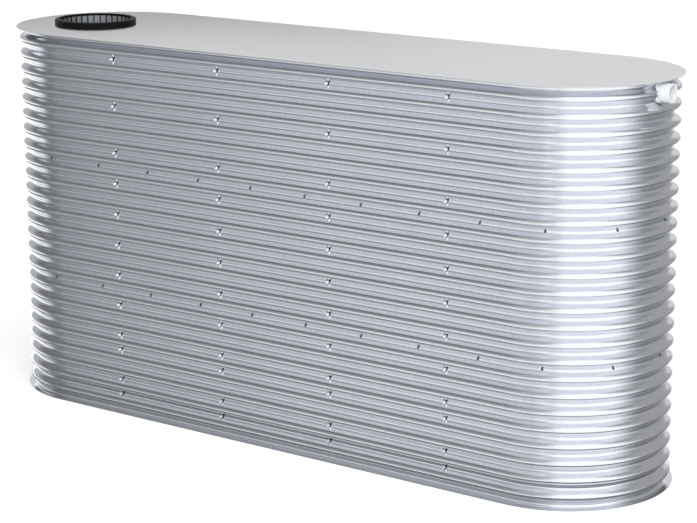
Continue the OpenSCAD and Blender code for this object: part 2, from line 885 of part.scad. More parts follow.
// The dipped sleeve on the lever's free end
module lever_sleeve() {
    start = lever_len - sleeve_len;
    grow = sleeve_t + mesh_gap;
    module outline(extra) {
        translate([-lever_w / 2 - extra, start]) square([lever_w + 2 * extra, sleeve_len - lever_w / 2]);
        translate([0, lever_len - lever_w / 2]) circle(d = lever_w + 2 * extra);
    }
    color("steelblue") at_ball()
        translate([0, 0, lever_z])
            difference() {
                translate([0, 0, -grow]) linear_extrude(lever_t + 2 * grow) outline(grow);
                translate([0, -small, -mesh_gap])
                    linear_extrude(lever_t + 2 * mesh_gap) outline(mesh_gap);
            }
}

module lever_nut() {
    color("silver") at_ball()
        translate([0, 0, lever_z + lever_t])
            difference() {
                cylinder(h = lever_nut_h, d = lever_nut_w / cos(30), $fn = 6);
                translate([0, 0, -small])
                    cylinder(h = lever_nut_h + 2 * small, d = stem_d + 2 * thread_clear);
            }
}

base_sheet();
bottom_strake();
middle_strake();
top_strake();
lid_sheet();
base_seal();
lid_seal();
lower_seam_rivets();
upper_seam_rivets();
tie_rods();
front_tie_pads();
back_tie_pads();
front_tie_washers();
back_tie_washers();
front_tie_nuts();
back_tie_nuts();
strainer_basket();
strainer_mesh();
overflow_stub();
overflow_gasket();
overflow_back_nut();
overflow_screen();
outlet_shank();
outlet_gasket();
outlet_back_nut();
valve_body();
valve_end();
valve_seats();
valve_ball();
valve_stem();
gland_nut();
valve_lever();
lever_sleeve();
lever_nut();
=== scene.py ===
# %% [markdown]
# # A slimline corrugated water tank
# The tank is a long, narrow rainwater tank: corrugated steel sheet carried round two
# straight sides and two half turns, between a flat base and a flat lid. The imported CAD
# model is the frame: it says where every piece is and how big it is. This notebook adds
# the looks, with surfaces worked out in numpy and materials made from nodes.

import bmesh
import bpy
import numpy as np
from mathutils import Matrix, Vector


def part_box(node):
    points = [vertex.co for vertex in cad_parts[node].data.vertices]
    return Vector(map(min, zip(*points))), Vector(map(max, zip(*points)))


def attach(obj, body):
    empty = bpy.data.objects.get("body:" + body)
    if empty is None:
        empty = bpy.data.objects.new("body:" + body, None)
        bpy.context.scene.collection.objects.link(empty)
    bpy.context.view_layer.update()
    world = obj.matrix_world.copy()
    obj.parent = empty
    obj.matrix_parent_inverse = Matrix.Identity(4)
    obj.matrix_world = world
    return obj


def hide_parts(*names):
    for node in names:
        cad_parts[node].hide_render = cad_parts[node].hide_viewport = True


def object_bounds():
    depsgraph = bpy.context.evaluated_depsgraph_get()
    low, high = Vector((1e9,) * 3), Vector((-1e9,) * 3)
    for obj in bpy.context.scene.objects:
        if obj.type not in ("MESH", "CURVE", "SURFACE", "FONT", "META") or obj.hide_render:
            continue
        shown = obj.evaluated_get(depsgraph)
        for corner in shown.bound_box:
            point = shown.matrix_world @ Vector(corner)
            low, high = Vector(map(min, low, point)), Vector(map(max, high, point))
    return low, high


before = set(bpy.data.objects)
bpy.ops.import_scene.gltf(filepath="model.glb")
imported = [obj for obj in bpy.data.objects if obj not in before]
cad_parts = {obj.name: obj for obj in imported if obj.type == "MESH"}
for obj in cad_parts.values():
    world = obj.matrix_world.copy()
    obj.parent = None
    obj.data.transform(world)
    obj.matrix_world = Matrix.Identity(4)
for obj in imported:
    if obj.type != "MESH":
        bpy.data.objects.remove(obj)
cad_low, cad_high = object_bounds()
print("CAD box in metres:", tuple(cad_low), tuple(cad_high))

# %% [markdown]
# ## Camera
# The photograph looks at the front from the right and a little above, through a long
# lens. The direction, the distance and the lens were worked out from the tank's own
# edges, so the corrugations fall on the same lines. The image is 697 by 523 pixels.

# %% Camera
MM = 0.001
IMAGE_W = 697
FOCAL_PIXELS = 2147.9
SENSOR_W = 36.0
CAMERA_PLACE = (5.9705, -8.1090, 3.2803)
CAMERA_AZIMUTH = np.radians(35.784)
CAMERA_ELEVATION = np.radians(13.799)
CAMERA_ROLL = np.radians(-0.126)


def camera_axes(azimuth, elevation, roll):
    """Right, up and back directions of a camera. Back points from the object to the
    camera, right is level, and both right and up then turn about back by the roll."""
    back = np.array([np.sin(azimuth) * np.cos(elevation),
                     -np.cos(azimuth) * np.cos(elevation), np.sin(elevation)])
    level = np.array([np.cos(azimuth), np.sin(azimuth), 0.0])
    upright = np.cross(back, level)
    right = np.cos(roll) * level + np.sin(roll) * upright
    up = -np.sin(roll) * level + np.cos(roll) * upright
    return right, up, back


camera_data = bpy.data.cameras.new("photo_camera")
camera_data.sensor_fit = "HORIZONTAL"
camera_data.sensor_width = SENSOR_W
camera_data.lens = SENSOR_W * FOCAL_PIXELS / IMAGE_W
camera_data.clip_end = 200.0
camera = bpy.data.objects.new("photo_camera", camera_data)
placement = np.eye(4)
placement[:3, :3] = np.array(camera_axes(CAMERA_AZIMUTH, CAMERA_ELEVATION, CAMERA_ROLL)).T
placement[:3, 3] = CAMERA_PLACE
camera.matrix_world = placement.T.tolist()
bpy.context.scene.collection.objects.link(camera)
bpy.context.scene.camera = camera
bpy.context.scene.view_settings.view_transform = "Standard"
print("lens in millimetres:", round(camera_data.lens, 2))

# %% [markdown]
# ## Two small helpers for node trees
# Colours are written as sRGB hex values, as a paint card gives them, and Blender wants
# them linear. One function adds a node with its settings and its links, so that every
# material below reads as a list of what feeds what.

# %% Colour and node helpers


def linear(hex_code):
    """Linear RGBA of an sRGB hex value: small channels are divided by 12.92, the others
    are shifted by 0.055, divided by 1.055 and raised to the power 2.4."""
    channel = np.array([int(hex_code[i:i + 2], 16) for i in (1, 3, 5)]) / 255
    value = np.where(channel <= 0.04045, channel / 12.92, ((channel + 0.055) / 1.055) ** 2.4)
    return (*value.tolist(), 1.0)


def add_node(tree, kind, settings=None, values=None, links=None):
    """Adds a node: its settings are attributes, its values are set on its sockets, and
    its links join a socket of this node, by name or number, to another node's output."""
    made = tree.nodes.new(kind)
    for name, value in (settings or {}).items():
        setattr(made, name, value)
    for name, value in (values or {}).items():
        made.inputs[name].default_value = value
    for name, source in (links or {}).items():
        tree.links.new(source, made.inputs[name])
    return made


# %% [markdown]
# ## Studio
# The wall is bare metal, so what it shows is the studio round it. The photograph's tank
# stands in a bright white sweep with a broad soft light on its right, a dark cloth to the
# left of the front, a narrow light further round and a bright ceiling. Each of these is a
# soft patch of the world, given by its azimuth and elevation, because a patch of the
# world costs nothing to render and keeps the same place in every view. Azimuth is counted
# from the front, towards the right end. The camera itself sees plain white.

# %% Soft lights of the world
BASE_LEVEL = 0.56
# azimuth, half width, soft edge, elevation, half height, soft edge (degrees), strength
SOFT_LIGHTS = {
    "right_softbox": (59, 26, 39, -5, 74, 20, 0.85),
    "front_panel": (-14, 20, 14, -22, 22, 38, 0.50),
    "dark_cloth": (-54, 6, 16, 2, 60, 20, -0.22),
    "dark_upper_left": (-90, 18, 14, 42, 14, 12, -0.34),
    "dark_floor_left": (-114, 30, 16, -42, 20, 6, -0.42),
    "left_rim_panel": (-118, 44, 18, -5, 9, 2.5, 0.95),
    "dark_horizon": (-136, 7, 7, 4, 2.5, 1.5, -0.36),
    "dark_right_rim": (152, 20, 22, 0, 80, 10, -0.12),
    "dark_floor_right": (138, 26, 18, -40, 20, 14, -0.18),
    "back_wall": (-152, 24, 10, 20, 12, 0.8, 0.24),
}


def soft_patch(tree, azimuth, elevation, light):
    """Strength of one soft light: a smooth step in azimuth times one in elevation."""
    az, half_az, edge_az, el, half_el, edge_el, strength = light
    steps = []
    for angle, centre, half, edge in ((azimuth, az, half_az, edge_az),
                                      (elevation, el, half_el, edge_el)):
        away = add_node(tree, "ShaderNodeMath", {"operation": "SUBTRACT"},
                        {1: centre}, {0: angle})
        away = add_node(tree, "ShaderNodeMath", {"operation": "ABSOLUTE"},
                        links={0: away.outputs[0]})
        steps.append(add_node(tree, "ShaderNodeMapRange", {"interpolation_type": "SMOOTHSTEP"},
                              {"From Min": half + edge, "From Max": half},
                              {"Value": away.outputs[0]}))
    both = add_node(tree, "ShaderNodeMath", {"operation": "MULTIPLY"},
                    links={0: steps[0].outputs[0], 1: steps[1].outputs[0]})
    return add_node(tree, "ShaderNodeMath", {"operation": "MULTIPLY"},
                    {1: strength}, {0: both.outputs[0]}).outputs[0]


def studio_world():
    """White for the camera, and for all other rays the base level plus the soft lights."""
    world = bpy.data.worlds.new("studio")
    world.use_nodes = True
    tree = world.node_tree
    tree.nodes.clear()
    where = add_node(tree, "ShaderNodeTexCoord")
    axis = add_node(tree, "ShaderNodeSeparateXYZ", links={0: where.outputs["Generated"]})
    back = add_node(tree, "ShaderNodeMath", {"operation": "MULTIPLY"}, {1: -1.0},
                    {0: axis.outputs["Y"]})
    turn = add_node(tree, "ShaderNodeMath", {"operation": "ARCTAN2"},
                    links={0: axis.outputs["X"], 1: back.outputs[0]})
    rise = add_node(tree, "ShaderNodeMath", {"operation": "ARCSINE"},
                    links={0: axis.outputs["Z"]})
    azimuth = add_node(tree, "ShaderNodeMath", {"operation": "DEGREES"},
                       links={0: turn.outputs[0]}).outputs[0]
    elevation = add_node(tree, "ShaderNodeMath", {"operation": "DEGREES"},
                         links={0: rise.outputs[0]}).outputs[0]
    level = add_node(tree, "ShaderNodeValue")
    level.outputs[0].default_value = BASE_LEVEL
    total = level.outputs[0]
    for light in SOFT_LIGHTS.values():
        patch = soft_patch(tree, azimuth, elevation, light)
        total = add_node(tree, "ShaderNodeMath", {"operation": "ADD"},
                         links={0: total, 1: patch}).outputs[0]
    dome = add_node(tree, "ShaderNodeBackground", values={"Color": linear("#ffffff")},
                    links={"Strength": total})
    white = add_node(tree, "ShaderNodeBackground", values={"Color": linear("#ffffff"),
                                                           "Strength": 1.0})
    path = add_node(tree, "ShaderNodeLightPath")
    mixed = add_node(tree, "ShaderNodeMixShader", links={0: path.outputs["Is Camera Ray"],
                                                         1: dome.outputs[0],
                                                         2: white.outputs[0]})
    add_node(tree, "ShaderNodeOutputWorld", links={"Surface": mixed.outputs[0]})
    bpy.context.scene.world = world
    print("soft lights in the world:", len(SOFT_LIGHTS))


studio_world()

# %% [markdown]
# ## Floor and key light
# The floor is a wide pale plane that keeps the tank's soft shadow. It adds a little of
# its own light for the camera alone, so that it joins the white background. One large
# soft lamp stands to the right of the camera and gives the shadow its direction.

# %% Floor and key light
FLOOR_HALF = 60.0
FLOOR_COLOUR = "#f4f4f4"
FLOOR_LIFT = 0.4
FOOT_SHADE = 0.2
AXIS_R = cad_high.y
AXIS_HALF = cad_high.x - cad_high.y
SHADE_REACH = AXIS_R + 0.5
LAMP_PLACE = (6.0, -6.5, 5.5)
LAMP_SIZE = 5.0
LAMP_WATTS = 260.0


def foot_shadow(tree):
    """How far a spot of the floor lies in the tank's own shade, from 1 at its foot to 0.
    The distance is taken from the nearest point of the tank's long axis."""
    place = add_node(tree, "ShaderNodeTexCoord")
    axis = add_node(tree, "ShaderNodeSeparateXYZ", links={0: place.outputs["Object"]})
    nearest = add_node(tree, "ShaderNodeClamp", values={"Min": -AXIS_HALF, "Max": AXIS_HALF},
                       links={0: axis.outputs["X"]})
    along = add_node(tree, "ShaderNodeMath", {"operation": "SUBTRACT"},
                     links={0: axis.outputs["X"], 1: nearest.outputs[0]})
    away = add_node(tree, "ShaderNodeCombineXYZ", links={0: along.outputs[0],
                                                         1: axis.outputs["Y"]})
    distance = add_node(tree, "ShaderNodeVectorMath", {"operation": "LENGTH"},
                        links={0: away.outputs[0]})
    return add_node(tree, "ShaderNodeMapRange", {"interpolation_type": "SMOOTHSTEP"},
                    {"From Min": SHADE_REACH, "From Max": AXIS_R},
                    {"Value": distance.outputs["Value"]}).outputs[0]


def studio_floor():
    """A square plane under the tank, from four corners."""
    half = FLOOR_HALF
    mesh = bpy.data.meshes.new("studio_floor")
    mesh.from_pydata([(-half, -half, 0), (half, -half, 0), (half, half, 0), (-half, half, 0)],
                     [], [(0, 1, 2, 3)])
    material = bpy.data.materials.new("pale_paper")
    material.use_nodes = True
    tree = material.node_tree
    tree.nodes.clear()
    paper = add_node(tree, "ShaderNodeBsdfDiffuse", values={"Color": linear(FLOOR_COLOUR)})
    path = add_node(tree, "ShaderNodeLightPath")
    lift = add_node(tree, "ShaderNodeMath", {"operation": "MULTIPLY"}, {1: FLOOR_LIFT},
                    {0: path.outputs["Is Camera Ray"]})
    glow = add_node(tree, "ShaderNodeEmission", links={"Strength": lift.outputs[0]})
    both = add_node(tree, "ShaderNodeAddShader", links={0: paper.outputs[0], 1: glow.outputs[0]})
    shade = add_node(tree, "ShaderNodeEmission", values={"Strength": FOOT_SHADE})
    clear = add_node(tree, "ShaderNodeBsdfTransparent")
    mirrored = add_node(tree, "ShaderNodeMixShader", links={0: foot_shadow(tree), 1: clear.outputs[0],
                                                            2: shade.outputs[0]})
    chosen = add_node(tree, "ShaderNodeMixShader", links={0: path.outputs["Is Glossy Ray"],
                                                          1: both.outputs[0],
                                                          2: mirrored.outputs[0]})
    add_node(tree, "ShaderNodeOutputMaterial", links={"Surface": chosen.outputs[0]})
    mesh.materials.append(material)
    floor = bpy.data.objects.new("studio_floor", mesh)
    bpy.context.scene.collection.objects.link(floor)


def key_lamp():
    """A square area lamp that looks at the middle of the tank."""
    data = bpy.data.lights.new("key_softbox", "AREA")
    data.size = LAMP_SIZE
    data.energy = LAMP_WATTS
    lamp = bpy.data.objects.new("key_softbox", data)
    lamp.location = LAMP_PLACE
    middle = (cad_low + cad_high) / 2
    lamp.rotation_euler = (middle - lamp.location).to_track_quat("-Z", "Y").to_euler()
    lamp.visible_camera = False
    lamp.visible_glossy = False
    bpy.context.scene.collection.objects.link(lamp)


studio_floor()
key_lamp()

# %% [markdown]
# ## Grids
# Nearly every piece is a grid of points: a section carried along a path, or a profile
# turned round an axis. A grid of rows and columns becomes squares, and a grid that closes
# on itself joins its last row or column to its first. Many equal copies are one array.

# %% Mesh helpers


def grid_squares(copies, rows, columns, close_rows, close_columns):
    """Corner numbers of the squares of equal grids, and the row and column of each corner.
    A square joins a point to the next in its row and in its column. Past the last row or
    column of a closed grid the numbering starts again at the first."""
    row, column = np.meshgrid(np.arange(rows - (not close_rows)),
                              np.arange(columns - (not close_columns)), indexing="ij")
    at = np.stack([row, row + 1, row + 1, row], -1), np.stack([column, column, column + 1,
                                                               column + 1], -1)
    corner = (at[0] % rows) * columns + at[1] % columns
    start = np.arange(copies).reshape(-1, 1, 1, 1) * rows * columns
    return (corner[None] + start).reshape(-1, 4), at


def outward(points, squares):
    """The squares, turned over if the volume that they enclose comes out negative. The
    volume is a sum of the pyramids from the centre to each square's two triangles."""
    a, b, c, d = (points[squares[:, i]] - points.mean(0) for i in range(4))
    volume = (np.cross(a, b) * c).sum() + (np.cross(a, c) * d).sum()
    return squares if volume > 0 else squares[:, ::-1]


def grid_mesh(name, patches, sharp_angle=35.0):
    """One mesh from several patches. A patch is a dict: points (copies, rows, columns, 3),
    close_rows, close_columns, and uv (rows + 1, columns + 1, 2) or nothing. Points that
    coincide, as at a pole, are merged, and edges over the sharp angle stay sharp."""
    all_points, all_squares, all_uv = [], [], []
    start = 0
    for patch in patches:
        points = patch["points"]
        copies, rows, columns = points.shape[:3]
        squares, at = grid_squares(copies, rows, columns, patch.get("close_rows", False),
                                   patch.get("close_columns", False))
        flat = points.reshape(-1, 3)
        per_copy = len(squares) // copies
        first = squares[:per_copy]
        turned = outward(flat[:rows * columns], first)
        flipped = turned is not first
        uv = np.zeros((len(squares), 4, 2))
        if patch.get("uv") is not None:
            uv = np.tile(patch["uv"][at[0], at[1]].reshape(-1, 4, 2), (copies, 1, 1))
        if flipped:
            squares, uv = squares[:, ::-1], uv[:, ::-1]
        all_points.append(flat)
        all_squares.append(squares + start)
        all_uv.append(uv)
        start += len(flat)
    points, squares = np.concatenate(all_points), np.concatenate(all_squares)
    mesh = bpy.data.meshes.new(name)
    mesh.vertices.add(len(points))
    mesh.vertices.foreach_set("co", points.astype(np.float32).ravel())
    mesh.loops.add(squares.size)
    mesh.loops.foreach_set("vertex_index", squares.astype(np.int32).ravel())
    mesh.polygons.add(len(squares))
    mesh.polygons.foreach_set("loop_start", np.arange(0, squares.size, 4, dtype=np.int32))
    mesh.update(calc_edges=True)
    layer = mesh.uv_layers.new(name="sheet_metres")
    layer.data.foreach_set("uv", np.concatenate(all_uv).astype(np.float32).ravel())
    return finished(mesh, sharp_angle)


def finished(mesh, sharp_angle=35.0):
    """Merges points that coincide, shades smooth and keeps edges over the angle sharp."""
    work = bmesh.new()
    work.from_mesh(mesh)
    bmesh.ops.remove_doubles(work, verts=work.verts, dist=1e-6)
    work.to_mesh(mesh)
    work.free()
    mesh.polygons.foreach_set("use_smooth", np.ones(len(mesh.polygons), bool))
    mesh.set_sharp_from_angle(angle=np.radians(sharp_angle))
    mesh.validate()
    return mesh


def add_piece(name, mesh, material, stands_for=(), body="tank"):
    """Puts a finished mesh in the scene, on its body and in place of its CAD nodes."""
    piece = bpy.data.objects.new(name, mesh)
    mesh.materials.clear()
    mesh.materials.append(material)
    bpy.context.scene.collection.objects.link(piece)
    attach(piece, body)
    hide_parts(*stands_for)
    corners = np.zeros(len(mesh.polygons), np.int32)
    mesh.polygons.foreach_get("loop_total", corners)
    print(name, "has", int((corners - 2).sum()), "triangles")
    return piece


# %% [markdown]
# ## Aluminium-zinc coated steel
# The wall, the lid and the base are steel strip with a hot-dipped coating of aluminium
# and zinc. It leaves the line bright, with a fine spangle of crystals and faint streaks
# along the strip. The spangle is one to two millimetres on the real sheet: here it is
# 7 mm, so that it shows at this distance. The streaks follow the sheet, so they read the
# wall's own UV map, which counts metres along the tank and metres up the sheet.

# %% Coated sheet
SPANGLE = 7 * MM
STREAK_LONG = 400 * MM
STREAK_WIDE = 6 * MM
CLOUD = 450 * MM


def new_material(name):
    """An empty material with an output and a Principled shader."""
    material = bpy.data.materials.new(name)
    material.use_nodes = True
    tree = material.node_tree
    tree.nodes.clear()
    shader = add_node(tree, "ShaderNodeBsdfPrincipled")
    add_node(tree, "ShaderNodeOutputMaterial", links={"Surface": shader.outputs[0]})
    return material, tree, shader


def mix_colour(tree, factor, first, second):
    """A colour between two, each a hex value or an output; the factor is an output."""
    mixed = add_node(tree, "ShaderNodeMix", {"data_type": "RGBA"}, links={0: factor})
    for socket, colour in ((6, first), (7, second)):
        if isinstance(colour, str):
            mixed.inputs[socket].default_value = linear(colour)
        else:
            tree.links.new(colour, mixed.inputs[socket])
    return mixed.outputs[2]


def coated_sheet(name, darker, lighter, roughness, along_sheet):
    """Coated steel: crystals from a Voronoi pattern and streaks from a stretched noise
    change the colour and the roughness a little, and a faint bump tilts the crystals."""
    material, tree, shader = new_material(name)
    place = add_node(tree, "ShaderNodeTexCoord")
    crystals = add_node(tree, "ShaderNodeTexVoronoi", values={"Scale": 1 / SPANGLE},
                        links={"Vector": place.outputs["Object"]})
    crystal = add_node(tree, "ShaderNodeSeparateXYZ", links={0: crystals.outputs["Color"]})
    stretch = add_node(tree, "ShaderNodeMapping",
                       values={"Scale": (1 / STREAK_LONG, 1 / STREAK_WIDE, 1 / STREAK_WIDE)},
                       links={"Vector": place.outputs["UV" if along_sheet else "Object"]})
    streaks = add_node(tree, "ShaderNodeTexNoise", values={"Scale": 1.0, "Detail": 3.0},
                       links={"Vector": stretch.outputs[0]})
    clouds = add_node(tree, "ShaderNodeTexNoise", values={"Scale": 1 / CLOUD, "Detail": 2.0},
                      links={"Vector": place.outputs["Object"]})
    grain = add_node(tree, "ShaderNodeMath", {"operation": "ADD"},
                     links={0: crystal.outputs[0], 1: streaks.outputs[0]})
    grain = add_node(tree, "ShaderNodeMath", {"operation": "ADD"},
                     links={0: grain.outputs[0], 1: clouds.outputs[0]})
    share = add_node(tree, "ShaderNodeMapRange", values={"From Min": 0.6, "From Max": 2.4},
                     links={"Value": grain.outputs[0]})
    tree.links.new(mix_colour(tree, share.outputs[0], darker, lighter),
                   shader.inputs["Base Color"])
    rough = add_node(tree, "ShaderNodeMapRange",
                     values={"From Min": 0.6, "From Max": 2.4, "To Min": roughness + 0.04,
                             "To Max": roughness - 0.04},
                     links={"Value": grain.outputs[0]})
    tree.links.new(rough.outputs[0], shader.inputs["Roughness"])
    bump = add_node(tree, "ShaderNodeBump", values={"Strength": 0.08, "Distance": 0.3 * MM},
                    links={"Height": crystal.outputs[0]})
    tree.links.new(bump.outputs[0], shader.inputs["Normal"])
    shader.inputs["Metallic"].default_value = 1.0
    return material


wall_steel = coated_sheet("coated_steel_corrugated", "#d5d8df", "#dfe2e8", 0.13, True)
lid_steel = coated_sheet("coated_steel_flat", "#d8dadd", "#dddfe2", 0.08, False)
print("materials:", wall_steel.name, lid_steel.name)

# %% [markdown]
# ## The wall's path and section
# The tank's plan is two straight sides and two half turns. A station on the plan is the
# centre that it turns about and the direction that points outwards, so a point of the
# wall is the centre, plus its radius times that direction. The section is a cosine wave:
# the crests stand 31 mm proud of the valleys and repeat every 76.2 mm. Both the path and
# the wave are formulas, so the wall is exact and smooth where the CAD solid has flats.

# %% Path and section of the wall
PITCH = 76.2 * MM
DEPTH = 31 * MM
SHEET = 1 * MM
COLLAR = 13.4 * MM
ROWS_PER_WAVE = 14
SIDE_STATIONS = 12
END_STATIONS = 60

edge_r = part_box("base_sheet")[1].y
end_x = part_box("base_sheet")[1].x - edge_r
z_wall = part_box("bottom_strake")[0].z
z_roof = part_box("top_strake")[1].z
first_valley = z_wall + COLLAR
wave_count = round((z_roof - z_wall - 2 * COLLAR) / PITCH)
last_valley = first_valley + wave_count * PITCH
print("corrugations:", wave_count, "first valley at", round(first_valley / MM, 1), "mm")


def plan_stations(finer_right=(), finer_left=()):
    """Stations round the plan, anticlockwise from the left end of the front: the centre's
    x, the outward direction, and the distance along the outer edge. The finer angles are
    degrees about each end's outermost point, where a pressed seat needs closer rows."""
    side = np.linspace(-end_x, end_x, SIDE_STATIONS + 1)[:-1]
    turn = np.linspace(-90, 90, END_STATIONS + 1)
    right = np.unique(np.round(np.concatenate([turn, finer_right]), 4))[:-1]
    left = np.unique(np.round(np.concatenate([turn, finer_left]), 4))[:-1]
    centre = np.concatenate([side, np.full(len(right), end_x), -side, np.full(len(left), -end_x)])
    angle = np.radians(np.concatenate([np.full(len(side), -90.0), right,
                                       np.full(len(side), 90.0), left + 180]))
    out = np.stack([np.cos(angle), np.sin(angle)], -1)
    edge = np.stack([centre, 0 * centre], -1) + edge_r * out
    step = np.linalg.norm(np.roll(edge, -1, 0) - edge, axis=1)
    return centre, out, np.concatenate([[0], np.cumsum(step)])


def carried(stations, radius, height):
    """A section of radius and height carried round the plan: each point is the station's
    centre plus the radius times its outward direction, at its height."""
    centre, out, _ = stations
    x = centre[:, None] + radius[None] * out[:, :1]
    y = radius[None] * out[:, 1:]
    return np.stack([x, y, np.broadcast_to(height, x.shape)], -1)


def wave_section(mid_r, z):
    """Radius and slope of the middle of the sheet at heights z: the middle radius less
    half the depth times the cosine of the phase, which is zero in a valley."""
    phase = 2 * np.pi * (z - first_valley) / PITCH
    return mid_r - DEPTH / 2 * np.cos(phase), DEPTH / 2 * 2 * np.pi / PITCH * np.sin(phase)


def sheet_face(mid_r, z, side):
    """One face of the sheet: the middle moved out square to it by half its thickness, and
    straight out at the two cut edges."""
    r, slope = wave_section(mid_r, z)
    lean = np.sqrt(1 + slope ** 2)
    move = side * SHEET / 2
    radius, height = r + move / lean, z - move * slope / lean
    radius[[0, -1]] = (r + move * lean)[[0, -1]]
    height[[0, -1]] = z[[0, -1]]
    return radius, height


# %% [markdown]
# ## The three strakes
# The wall is three strips of corrugated sheet, one above the other. Each upper strip laps
# 16 mm over the one below, in a valley, where rivets hold the seam. The overflow and the
# outlet need a flat place to seal against, so the press has dished a round seat into each
# end. The seat is worked out on the same grid: a point of the end may stand no further
# out than the seat's plane, plus a steep bank round its edge, joined by a smooth minimum.

# %% Corrugated strakes
SEAT_BANK = 3.0
SEAT_BLEND = 2.5 * MM
SEAT_STEP = 2.5 * MM


def smooth_min(a, b, blend):
    """The smaller of two, less a rounding where they are within the blend of each other."""
    near = np.clip(blend - np.abs(a - b), 0, None) / blend
    return np.minimum(a, b) - near ** 2 * blend / 4


def pressed_seat(points, faces, seat):
    """Presses a flat round seat into one end of the wall."""
    end = np.sign(seat["x"])
    away = np.hypot(points[..., 1] - seat["y"], points[..., 2] - seat["z"])
    bank = SEAT_BANK * np.clip(away - seat["radius"], 0, None)
    plane = abs(seat["x"]) + bank - SHEET * (faces < 0)
    own = points[..., 0] * end
    points[..., 0] = np.where(own > end_x, end * smooth_min(own, plane, SEAT_BLEND), points[..., 0])
    return points


def strake(name, node, seat=None):
    """One strip of the wall: its outer face going up, then its inner face coming down,
    carried round the plan, with closer rows and stations across its seat."""
    low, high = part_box(node)
    mid_r = high.y - DEPTH / 2 - SHEET / 2
    row = PITCH / ROWS_PER_WAVE
    inside = first_valley + row * np.arange(np.ceil((low.z - first_valley) / row + 0.2),
                                            np.floor((high.z - first_valley) / row - 0.2) + 1)
    z = np.concatenate([[low.z], inside, [high.z]])
    finer = {}
    if seat:
        reach = seat["radius"] + 12 * MM
        close = np.arange(seat["z"] - reach, seat["z"] + reach, SEAT_STEP)
        far = z[np.abs(z - seat["z"]) > reach]
        close = close[(close > low.z + SEAT_STEP) & (close < high.z - SEAT_STEP)]
        z = np.sort(np.concatenate([far, close, [high.z] if high.z not in far else []]))
        middle = np.degrees(np.arcsin(seat["y"] / mid_r))
        span = np.degrees(reach / mid_r)
        angles = np.arange(middle - span, middle + span, np.degrees(SEAT_STEP / mid_r))
        finer = {"finer_right" if seat["x"] > 0 else "finer_left": angles}
    stations = plan_stations(**finer)
    outer_r, outer_z = sheet_face(mid_r, z, 1)
    inner_r, inner_z = sheet_face(mid_r, z, -1)
    radius = np.concatenate([outer_r, inner_r[::-1]])
    height = np.concatenate([outer_z, inner_z[::-1]])
    faces = np.concatenate([np.ones(len(z)), -np.ones(len(z))])
    points = carried(stations, radius, height)
    if seat:
        points = pressed_seat(points, faces, seat)
    up = np.concatenate([[0], np.cumsum(np.hypot(np.diff(radius), np.diff(height))), [0]])
    up[-1] = up[-2] + SHEET
    uv = np.stack(np.meshgrid(stations[2], up, indexing="ij"), -1)
    mesh = grid_mesh(name, [{"points": points[None], "close_rows": True,
                             "close_columns": True, "uv": uv}], 50)
    return add_piece(name, mesh, wall_steel, [node])


gasket_low, gasket_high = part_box("overflow_gasket")
overflow = {"x": gasket_low.x, "y": (gasket_low.y + gasket_high.y) / 2,
            "z": (gasket_low.z + gasket_high.z) / 2, "radius": 49.5 * MM}
washer_low, washer_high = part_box("outlet_gasket")
outlet = {"x": washer_high.x, "y": (washer_low.y + washer_high.y) / 2,
          "z": (washer_low.z + washer_high.z) / 2, "radius": 31.5 * MM}
strake("bottom_strip", "bottom_strake", outlet)
strake("middle_strip", "middle_strake")
strake("top_strip", "top_strake", overflow)

# %% [markdown]
# ## Lid and base sheets
# Both are flat sheets 1.2 mm thick, cut to the outline of the tank, with the edge folded
# back on itself as a narrow hem so that it isn't sharp. A section with a rounded edge is
# carried round the same plan as the wall, from the centre line out and back again. The
# hole for the strainer is then cut out of the lid.

# %% Lid and base
HEM = 12 * MM
HOLE_R = 186 * MM
HOLE_STEPS = 180
FOLD_STEPS = 5


def rounded(corners, steps=FOLD_STEPS):
    """An outline of (radius, height, rounding) corners in metres, where each rounding is
    a curve from a point before the corner to one after: (1-t)^2 before + 2t(1-t) corner
    + t^2 after, for t from 0 to 1."""
    corners = np.array(corners, float)
    spot, size = corners[:, :2], corners[:, 2:]
    to_last, to_next = np.roll(spot, 1, 0) - spot, np.roll(spot, -1, 0) - spot
    before = spot + to_last / np.linalg.norm(to_last, axis=1, keepdims=True) * size
    after = spot + to_next / np.linalg.norm(to_next, axis=1, keepdims=True) * size
    t = np.linspace(0, 1, steps)[None, :, None]
    curve = ((1 - t) ** 2 * before[:, None] + 2 * t * (1 - t) * spot[:, None]
             + t ** 2 * after[:, None]).reshape(-1, 2)
    keep = np.linalg.norm(np.diff(curve, axis=0, append=curve[:1] + 1), axis=1) > 1e-7
    return curve[keep].T


def plate(name, node, up):
    """A sheet with a hem. Up is 1 where the hem lies on top of the sheet, and -1 where
    it lies under it."""
    low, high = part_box(node)
    face, turned_back = (low.z, high.z) if up > 0 else (high.z, low.z)
    half = (turned_back - face) / 2
    round_off = abs(half) * 0.98
    section = [(0, face, 0), (edge_r - 8 * MM, face, 0), (edge_r, face, round_off),
               (edge_r, turned_back, round_off), (edge_r - HEM, turned_back, 0.3 * MM),
               (edge_r - HEM, face + half, 0), (0, face + half, 0)]
    radius, height = rounded(section)
    points = carried(plan_stations(), radius, height)
    return grid_mesh(name, [{"points": points[None], "close_rows": True}])


